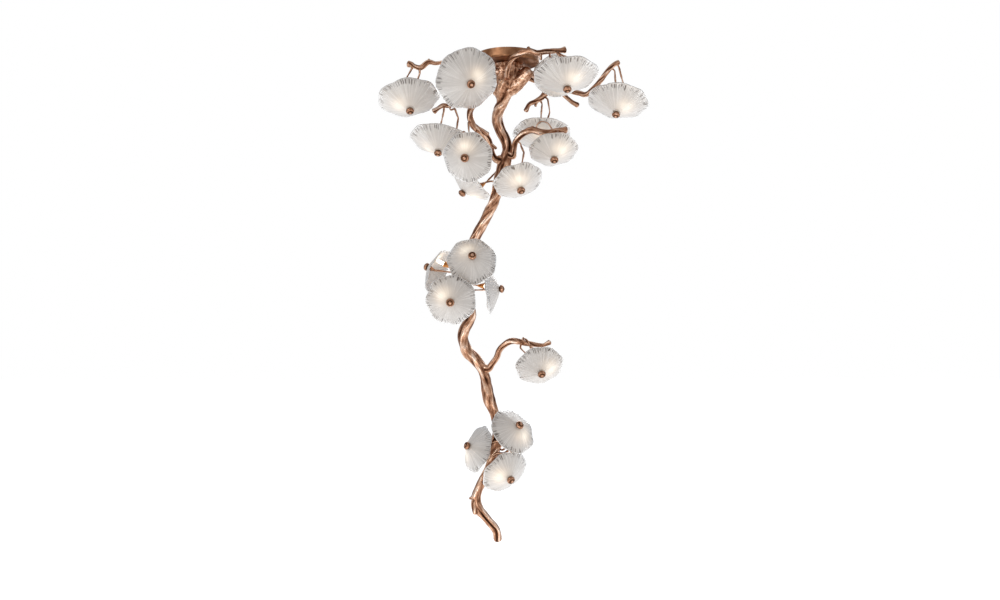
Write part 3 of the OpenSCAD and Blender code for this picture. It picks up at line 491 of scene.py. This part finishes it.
def antique_copper(name, stops, lift=0.0):
    """Cast metal plated in antique copper or bronze: worn bright on the ridges and left brown in
    the hollows, with painted shade in the hollows and painted highlights on the ridges. The eye
    sees soft streaks that follow the branch and small cloudy patches."""
    mat = new_material(name)
    # Painted shade in the hollows and painted highlights on the ridges, with real wear, from the
    # relief
    wear_and_shading = add(mat, "ShaderNodeAttribute", attribute_name="patina").outputs["Fac"]
    flow = add(mat, "ShaderNodeAttribute", attribute_name="bark_flow").outputs["Vector"]
    # Streaks about 3 mm wide and 30 mm long. The flow is in mm already
    streak_size = add(mat, "ShaderNodeMapping", {"Vector": flow, "Scale": (1 / 3, 1 / 3, 1 / 30)})
    streaks = add(mat, "ShaderNodeTexNoise", {
        "Vector": streak_size.outputs["Vector"], "Scale": 1.0, "Detail": 4.0,
        "Roughness": 0.6}).outputs["Fac"]
    clouds = add(mat, "ShaderNodeTexNoise", {
        "Vector": object_mm(mat, 14), "Scale": 1.0, "Detail": 3.0}).outputs["Fac"]
    grain = add(mat, "ShaderNodeTexNoise", {
        "Vector": object_mm(mat, 1.6), "Scale": 1.0, "Detail": 2.0}).outputs["Fac"]
    streaky = add(mat, "ShaderNodeMath", {0: streaks, 1: 0.75, 2: wear_and_shading},
                  operation="MULTIPLY_ADD").outputs[0]
    cloudy = add(mat, "ShaderNodeMath", {0: clouds, 1: 0.45, 2: streaky},
                 operation="MULTIPLY_ADD").outputs[0]
    level = add(mat, "ShaderNodeMath", {0: cloudy, 1: 0.61 - lift}, operation="SUBTRACT").outputs[0]
    colour = add(mat, "ShaderNodeValToRGB", {"Fac": level}, stops).outputs["Color"]
    rough = add(mat, "ShaderNodeValToRGB", {"Fac": level}, [(0.0, 0.62), (1.0, 0.24)])
    height = add(mat, "ShaderNodeMath", {0: streaks, 1: 0.7, 2: grain},
                 operation="MULTIPLY_ADD").outputs[0]
    bump = add(mat, "ShaderNodeBump", {"Height": height, "Strength": 0.32, "Distance": 0.0012})
    return finish_material(mat, {
        "Base Color": colour, "Roughness": rough.outputs["Color"], "Metallic": 1.0,
        "Normal": bump.outputs["Normal"]})


def turned_metal(name, dark, light, rough, patch_mm, grain_mm=0.9, strength=0.15):
    """Turned, spun or pressed metal with a light antique or plated finish: even colour with faint
    cloudy wear."""
    mat = new_material(name)
    clouds = add(mat, "ShaderNodeTexNoise", {
        "Vector": object_mm(mat, patch_mm), "Scale": 1.0, "Detail": 5.0}).outputs["Fac"]
    grain = add(mat, "ShaderNodeTexNoise", {
        "Vector": object_mm(mat, grain_mm), "Scale": 1.0, "Detail": 2.0}).outputs["Fac"]
    colour = add(mat, "ShaderNodeValToRGB", {"Fac": clouds}, [(0.3, dark), (0.72, light)])
    worn = add(mat, "ShaderNodeValToRGB", {"Fac": clouds},
               [(0.3, rough + 0.12), (0.7, rough - 0.05)])
    bump = add(mat, "ShaderNodeBump", {"Height": grain, "Strength": strength, "Distance": 0.0004})
    return finish_material(mat, {
        "Base Color": colour.outputs["Color"], "Roughness": worn.outputs["Color"], "Metallic": 1.0,
        "Normal": bump.outputs["Normal"]})


def moulded(name, dark, light, rough, grain_mm):
    """Moulded plastic or glazed ceramic: one colour with a fine skin."""
    mat = new_material(name)
    skin = add(mat, "ShaderNodeTexNoise", {
        "Vector": object_mm(mat, grain_mm), "Scale": 1.0, "Detail": 3.0}).outputs["Fac"]
    colour = add(mat, "ShaderNodeValToRGB", {"Fac": skin}, [(0.3, dark), (0.7, light)])
    bump = add(mat, "ShaderNodeBump", {"Height": skin, "Strength": 0.1, "Distance": 0.0003})
    return finish_material(mat, {
        "Base Color": colour.outputs["Color"], "Roughness": rough,
        "Normal": bump.outputs["Normal"]})


def frosted_glass():
    """Cast clear glass, frosted on both faces: milky, with painted light scattered along the ribs,
    painted dark glints in the cuts of the rim, clearer at its edge, and painted warm light where
    the lamp behind it shines through."""
    mat = new_material("frosted_cast_glass")
    glow, rim, rib, dash = (add(mat, "ShaderNodeAttribute", attribute_name=name).outputs["Fac"]
                            for name in ("glow", "rim", "rib", "dash"))
    clouds = add(mat, "ShaderNodeTexNoise", {
        "Vector": object_mm(mat, 22), "Scale": 1.0, "Detail": 4.0}).outputs["Fac"]
    grain = add(mat, "ShaderNodeTexNoise", {
        "Vector": object_mm(mat, 1.4), "Scale": 1.0, "Detail": 2.0}).outputs["Fac"]
    # Painted light: lighter along the ribs' ridges, where light scatters in the glass
    milk = add(mat, "ShaderNodeMath", {0: clouds, 1: 0.3, 2: rib},
               operation="MULTIPLY_ADD").outputs[0]
    milky = add(mat, "ShaderNodeValToRGB", {"Fac": milk},
                [(0.1, "#928C87"), (1.0, "#DAD5D0"), (0.5, "#BAB4AE")]).outputs["Color"]
    # Painted dark glints: the cuts of the rim are mixed towards a dark grey-brown
    colour = add(mat, "ShaderNodeMixRGB", {
        "Fac": dash, "Color1": milky, "Color2": linear("#574D46")}).outputs["Color"]
    clear = add(mat, "ShaderNodeValToRGB", {"Fac": rim}, [(0.8, 0.25), (1.0, 0.5)])
    rough = add(mat, "ShaderNodeValToRGB", {"Fac": rim}, [(0.8, 0.5), (1.0, 0.28)])
    # Painted lamp light: the glass itself shines, warm and strongest near its bulb
    warm = add(mat, "ShaderNodeValToRGB", {"Fac": glow}, [(0.0, "#FFD9A8"), (1.0, "#FFF0D6")])
    power = add(mat, "ShaderNodeMath", {0: glow, 1: 0.55}, operation="MULTIPLY").outputs[0]
    bump = add(mat, "ShaderNodeBump", {"Height": grain, "Strength": 0.12, "Distance": 0.0006})
    return finish_material(mat, {
        "Base Color": colour, "Roughness": rough.outputs["Color"], "IOR": 1.5,
        "Transmission Weight": clear.outputs["Color"], "Emission Color": warm.outputs["Color"],
        "Emission Strength": power, "Normal": bump.outputs["Normal"]})


def lamp_glass():
    """Frosted capsule bulb, lit: a warm white body with faint clouds."""
    mat = new_material("lit_capsule_bulb")
    clouds = add(mat, "ShaderNodeTexNoise", {
        "Vector": object_mm(mat, 6), "Scale": 1.0, "Detail": 1.0}).outputs["Fac"]
    colour = add(mat, "ShaderNodeValToRGB", {"Fac": clouds},
                 [(0.3, "#FFE9C8"), (0.7, "#FFF6E4")]).outputs["Color"]
    return finish_material(mat, {
        "Base Color": colour, "Roughness": 0.4, "Emission Color": colour, "Emission Strength": 3.5})


bark_copper = antique_copper("antique_copper_bark", COPPER)
twig_copper = antique_copper("antique_copper_twig", COPPER, lift=0.04)
canopy_copper = turned_metal("spun_antique_copper", "#7F563B", "#A87A59", 0.44, 30, 1.2, 0.2)
knob_bronze = antique_copper("antique_bronze_knob", DARK_BRONZE)
# Painted lamp light: the cups are a brighter, warmer bronze than the washers, as lit by their bulbs
lamplit_cup_bronze = turned_metal("lit_bronze_cup", "#A8683A", "#D89A5C", 0.3, 6)
washer_bronze = turned_metal("dark_bronze_washer", "#4C3524", "#7A563A", 0.4, 5)
zinc_steel = turned_metal("zinc_plated_steel", "#8D9093", "#C2C5C8", 0.38, 12)
plain_brass = turned_metal("turned_brass", "#A98D49", "#D8C07A", 0.3, 8)
driver_case = moulded("white_moulded_case", "#E4E4E1", "#F4F4F2", 0.45, 0.8)
terminal_plastic = moulded("cream_moulded_block", "#DDD8C8", "#EFEBDD", 0.4, 0.8)
glazed_ceramic = moulded("glazed_white_ceramic", "#E2DFD6", "#F5F3EC", 0.22, 2.5)
leaf_glass = frosted_glass()
bulb_glass = lamp_glass()


# Trunk and branches

def shoots_of(owner, radius, above=math.inf, below=-math.inf, crumple_to=0.0):
    """The side shoots, spurs and nubs that are cast in one with a branch, or with a length of the
    trunk, which is -1."""
    return [bark(np.array(rows, float), radius, BRANCH_STEP, 36, 50.0, 0.7 * i, strength=0.7,
                 ball=0.15, crumple_to=crumple_to)
            for i, (stands_on, rows) in enumerate(SHOOTS)
            if stands_on == owner and below < rows[0][2] < above]


def trunk_pieces():
    last = len(trunk) - 1
    for a, b, node in ((0, UPPER_JOINT, "trunk_upper"), (UPPER_JOINT, LOWER_JOINT, "trunk_middle"),
                       (LOWER_JOINT, last, "trunk_lower")):
        section = (a, b + (TIP_LAP if b == last else SEAM_LAP))
        parts = [bark(trunk, TRUNK_R, TRUNK_STEP, 64, 120.0, 3.7, crumple_to=ROOT_CRUMPLED_TO,
                      section=section)]
        parts += shoots_of(-1, TRUNK_R, trunk[a][2], trunk[b][2],
                           0 if a else ARM_CRUMPLED_TO)
        join_parts(node + "_bark", parts, node, "cast_branch", bark_copper)


def branch_pieces():
    for i, (name, _, _) in enumerate(BRANCHES):
        parts = [bark(branch_routes[i], BRANCH_R, BRANCH_STEP, 36, 60.0, 1.3 * i + 0.5,
                      start_in=9.0, flare=0.55, ball=0.22)]
        join_parts(name + "_bark", parts + shoots_of(i, BRANCH_R), name, "cast_branch", bark_copper)


# Twigs, studs and knobs

def smooth_line(points, step, width):
    """Even points along straight lengths, with the corners rounded over a width."""
    pts = np.array(points, float)
    s = run_of(pts)
    even = np.linspace(0, s[-1], max(8, int(s[-1] / step)) + 1)
    line = np.stack([np.interp(even, s, pts[:, k]) for k in range(3)], 1)
    window = max(1, int(width / (even[1] - even[0])))
    for _ in range(3):
        padded = np.vstack([np.repeat(line[:1], window, 0), line, np.repeat(line[-1:], window, 0)])
        total = np.cumsum(np.vstack([np.zeros((1, 3)), padded]), 0)
        mean = (total[2 * window + 1:] - total[:-2 * window - 1]) / (2 * window + 1)
        line = np.vstack([line[:1], mean[1:-1], line[-1:]])
    return line


def twig_part(points, seed):
    """A thin twig of uneven thickness, stouter at its foot."""
    line = smooth_line(points, TWIG_STEP, TWIG_BEND)
    n = len(line)
    t = np.linspace(0, 1, n)
    uneven = 0.16 * np.sin(t * 9 + seed) + 0.10 * np.sin(t * 23 + 2 * seed)
    thick = TWIG_R / BRANCH_R * (1.0 + uneven + 0.55 * np.exp(-t * n * TWIG_STEP / 5))
    rows = np.column_stack([line, thick])
    kept = rows[::3] if (n - 1) % 3 == 0 else np.vstack([rows[::3], rows[-1:]])
    return bark(kept, BRANCH_R, TWIG_BARK_STEP, 14, 30.0, seed, strength=0.7, tip=False)


def twig_to(end, axis, lead, owner, row, bends, first, seed):
    """A twig from its parent's bark, through its bends, to an end that it meets along an axis."""
    route, radius = parent_of(owner)
    centre, out, r = foot(route, radius, row, bends[0] if bends else first)
    start = centre + out * (r + FOOT_GAP)
    bends = [np.array(p, float) for p in bends]
    return twig_part([centre + out * r * 0.5, start, start + FOOT_LEAD * out, *bends,
                      end - lead * axis, end], seed)


def leaf_fittings():
    """The two twigs, the collar and the stud of each leaf, cast in one, and the knobs."""
    knobs = []
    for i, leaf in enumerate(leaves):
        turn, apex = leaf_place(leaf)
        axis = turn @ np.array([0, 0, 1.0])
        end = in_leaf(leaf, [0, 0, -STUD_BACK])
        leaf_twig = twig_to(end, axis, TWIG_LEAD, leaf.twig_from, leaf.twig_row, leaf.twig_bends,
                            end - 30 * axis, i + 0.3)
        _, lamp_axis, back = lamp_line(leaf)
        lamp_twig = twig_to(back, lamp_axis, LAMP_LEAD, leaf.lamp_from, leaf.lamp_row,
                            leaf.lamp_bends, back - 10 * lamp_axis, i + 7.1)
        collar = lathe(COLLAR_PROFILE, turn, apex, 28)
        stud = lathe(STUD_PROFILE, turn, apex, 20)
        join_parts("twig_pair_" + leaf.number, [leaf_twig, lamp_twig, collar, stud],
                   "twigs_" + leaf.number, "cast_branch", twig_copper)
        knobs.append(lathe(KNOB_PROFILE, turn, apex, 48))
    join_parts("ball_knobs", knobs, "leaf_knobs", "knob_bronze", knob_bronze)


# Leaves

def dish_heights():
    """Depth below the apex as a share, at even shares of the radius, with the kinks smoothed."""
    shares = np.linspace(0, 1, 101)
    drop = np.interp(shares, [0, 0.10] + [p[0] for p in DISH], [0, 0] + [p[1] for p in DISH])
    for _ in range(30):
        drop = np.concatenate([drop[:1], (drop[:-2] + 2 * drop[1:-1] + drop[2:]) / 4, drop[-1:]])
    return shares, drop


def round_noise(theta, size, z, x=0.0, y=0.0):
    """Smooth noise round a circle: the larger the size, the closer its swells."""
    return np.array([noise_at(math.cos(a) * size + x, math.sin(a) * size + y, z) for a in theta])


def leaf_piece(leaf, index):
    """A pressed glass leaf: a dish with radial ribs and a wavy, broken rim."""
    R, depth = SIZES[leaf.size]
    turn, apex = leaf_place(leaf)
    ribs = RIBS[leaf.size]
    columns = ribs * COLUMNS_PER_RIB
    theta = np.arange(columns) * 2 * math.pi / columns
    seed = 2.1 * index
    spin = math.radians(leaf.spin)

    # Seven soft edges, with a jagged and nicked rim
    half = math.pi / LEAF_EDGES
    off = (theta - spin) % (2 * half) - half
    straight = EDGE_SHARE / np.cos(off)
    soft = -np.log(np.exp(-straight * CORNER_SHARPNESS)
                   + np.exp(-1.0 * CORNER_SHARPNESS)) / CORNER_SHARPNESS
    jag = round_noise(theta, 7, 0.3, x=seed)
    nick = round_noise(theta, 26, 0.7, y=seed)
    outline = R * np.minimum(soft + 0.012 * jag + 0.005 * nick, RIM_MOST)
    waves = 2.4 * np.sin(7 * (theta - spin) + 0.8 * seed) + 1.8 * np.sin(3 * theta + seed)
    lift = R / SIZES["large"][0] * waves + 0.9 * nick

    # Ribs of uneven weight that wander a little, and short deep cuts across the rim
    weight = np.clip(0.75 + 1.1 * round_noise(theta, 11, 6.1, x=seed), 0.2, 1.3)
    wander = 0.5 * round_noise(theta, 2.5, 1.9, x=seed)
    cut = np.clip((round_noise(theta, 31, 4.2, x=-seed) - 0.2) / 0.08, 0, 1)
    cut_reach = round_noise(theta, 6, 7.7, y=-seed)

    shares = np.concatenate([np.linspace(0.034, 0.82, 24), np.linspace(0.835, 0.97, 10),
                             [0.985, 1.0]])
    outer, inner, rib_rows, cut_glint_rows = [], [], [], []
    for q, drop in zip(shares, np.interp(shares, *dish_heights())):
        grow = min(1.0, max(0.0, (q - 0.12) / 0.35))
        phase = ribs * theta + 9 * wander * q + 0.5 * np.sin(9 * q + seed)
        rib = 0.5 + 0.5 * np.cos(phase)
        minor = 0.5 + 0.5 * np.cos(2 * phase + 1.1)
        ridge = (0.75 * rib + 0.25 * minor) * grow * weight
        near_rim = (np.clip((q - 0.84 + 0.12 * cut_reach) / 0.03, 0, 1)
                    * np.clip((0.985 - q) / 0.02, 0, 1))
        groove = cut * near_rim
        z = (-depth * drop + (lift * q ** 5) * 0.8
             - RIB_DEPTH * (1 - ridge) * grow * (0.5 + 0.7 * q) - CUT_DEPTH * groove)
        r = outline * q
        thick = GLASS_T * (1 - 0.10 * q + 0.22 * nick * q ** 6)
        pinch = 1 - 0.55 * max(0.0, (q - 0.96) / 0.04) ** 2
        for face, share in ((outer, 1 - pinch), (inner, 1 + pinch)):
            face.append(np.stack([np.cos(theta) * r, np.sin(theta) * r, z - thick * share / 2], 1))
        # The ribs' ridges and the plain centre are painted lighter
        rib_rows.append(0.26 + 0.5 * ridge + 0.1 * (1 - grow))
        # The cuts of the rim also get painted dark glints
        cut_glint_rows.append(groove)

    rings = 2 * len(shares)
    verts = np.vstack(outer + inner[::-1]) @ turn.T + apex
    last = (rings - 1) * columns
    faces = ring_faces(rings, columns)
    faces += [(last + k, last + (k + 1) % columns, (k + 1) % columns, k) for k in range(columns)]

    # Painted lamp light on the glass: it falls off with the distance from the spot on the glass
    # that is nearest to the bulb
    tip, axis, _ = lamp_line(leaf)
    spread = np.sum((verts - (tip - axis * BULB_L * 0.4)) ** 2, axis=1)
    spread -= spread.min()
    near = np.exp(-spread / GLOW_CORE ** 2) + 0.12 * np.exp(-spread / GLOW_HALO ** 2)
    mesh_piece("glass_leaf_" + leaf.number, verts, faces, "shade_" + leaf.number, "leaf_glass",
               "leaf_" + leaf.number, leaf_glass, glow=near,
               rim=np.repeat(np.concatenate([shares, shares[::-1]]), columns),
               rib=np.concatenate(rib_rows + rib_rows[::-1]),
               dash=np.concatenate(cut_glint_rows + [0 * row for row in cut_glint_rows]))


# Studio

def area_light(name, place, aim, size, power):
    data = bpy.data.lights.new(name, "AREA")
    data.shape = "RECTANGLE"
    data.size, data.size_y = size
    data.energy = power
    lamp = bpy.data.objects.new(name, data)
    bpy.context.scene.collection.objects.link(lamp)
    lamp.location = place
    lamp.rotation_euler = (Vector(aim) - Vector(place)).to_track_quat("-Z", "Y").to_euler()


def studio():
    """A white paper floor under a white world that is dimmer as a light than as a backdrop."""
    scene = bpy.context.scene
    scene.view_settings.view_transform = "Standard"
    world = bpy.data.worlds.new("white_studio")
    scene.world = world
    world.use_nodes = True
    world.node_tree.nodes.clear()
    seen = add(world, "ShaderNodeLightPath").outputs["Is Camera Ray"]
    shown = add(world, "ShaderNodeBackground", {"Color": (1, 1, 1, 1)})
    lit = add(world, "ShaderNodeBackground", {"Color": (0.92, 0.95, 1, 1), "Strength": 0.6})
    mix = add(world, "ShaderNodeMixShader", {0: seen, 1: lit.outputs[0], 2: shown.outputs[0]})
    add(world, "ShaderNodeOutputWorld", {"Surface": mix.outputs[0]})

    middle = (0, 0, -0.75)
    area_light("soft_key", (-2.3, -2.8, 0.9), middle, (1.6, 1.6), 28)
    area_light("soft_fill", (2.6, -2.0, -0.6), middle, (0.9, 2.2), 9)
    area_light("back_edge", (0.8, 2.4, 0.4), middle, (2.0, 1.0), 22)
    area_light("low_fill", (-0.3, -2.3, -1.95), (0, 0, -1.2), (1.6, 0.5), 9)

    side, down = 12, -2.1
    floor = bpy.data.meshes.new("studio_floor")
    corners = [(-side, -side, down), (side, -side, down), (side, side, down), (-side, side, down)]
    floor.from_pydata(corners, [], [(0, 1, 2, 3)])
    ground = bpy.data.objects.new("studio_floor", floor)
    scene.collection.objects.link(ground)
    paper = new_material("white_paper_floor")
    fibre = add(paper, "ShaderNodeTexNoise", {
        "Vector": object_mm(paper, 60), "Scale": 1.0, "Detail": 2.0}).outputs["Fac"]
    tint = add(paper, "ShaderNodeValToRGB", {"Fac": fibre}, [(0.3, "#F7F7F6"), (0.7, "#FBFBFA")])
    floor.materials.append(finish_material(paper, {
        "Base Color": tint.outputs["Color"], "Roughness": 0.9,
        "Emission Color": (1, 1, 1, 1), "Emission Strength": 0.58}))

    # The photo is 1000 px wide. From 2.9 m away 3.2 mm is one pixel, which makes 906 px
    photo_width, focal_px = 1000, 906
    cam = bpy.data.cameras.new("photo_camera")
    cam.sensor_width = 36
    cam.lens = focal_px / photo_width * cam.sensor_width
    eye = bpy.data.objects.new("photo_camera", cam)
    scene.collection.objects.link(eye)
    eye.location = (-0.0256, -2.9, -0.783)
    eye.rotation_euler = (math.pi / 2, 0, 0)
    scene.camera = eye


trunk_pieces()
branch_pieces()
leaf_fittings()
for place, leaf in enumerate(leaves):
    leaf_piece(leaf, place)

# CAD nodes that show as they are
CARRIED = {
    "canopy": canopy_copper, "ceiling_bracket": zinc_steel, "hanging_nipple": plain_brass,
    "nipple_nuts": plain_brass, "led_driver": driver_case, "terminal_block": terminal_plastic,
    "leaf_washers": washer_bronze, "lamp_cups": lamplit_cup_bronze, "lamp_holders": glazed_ceramic,
    "bulbs": bulb_glass}
for node, finish in CARRIED.items():
    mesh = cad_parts[node].data
    mesh.materials.clear()
    mesh.materials.append(finish)

studio()
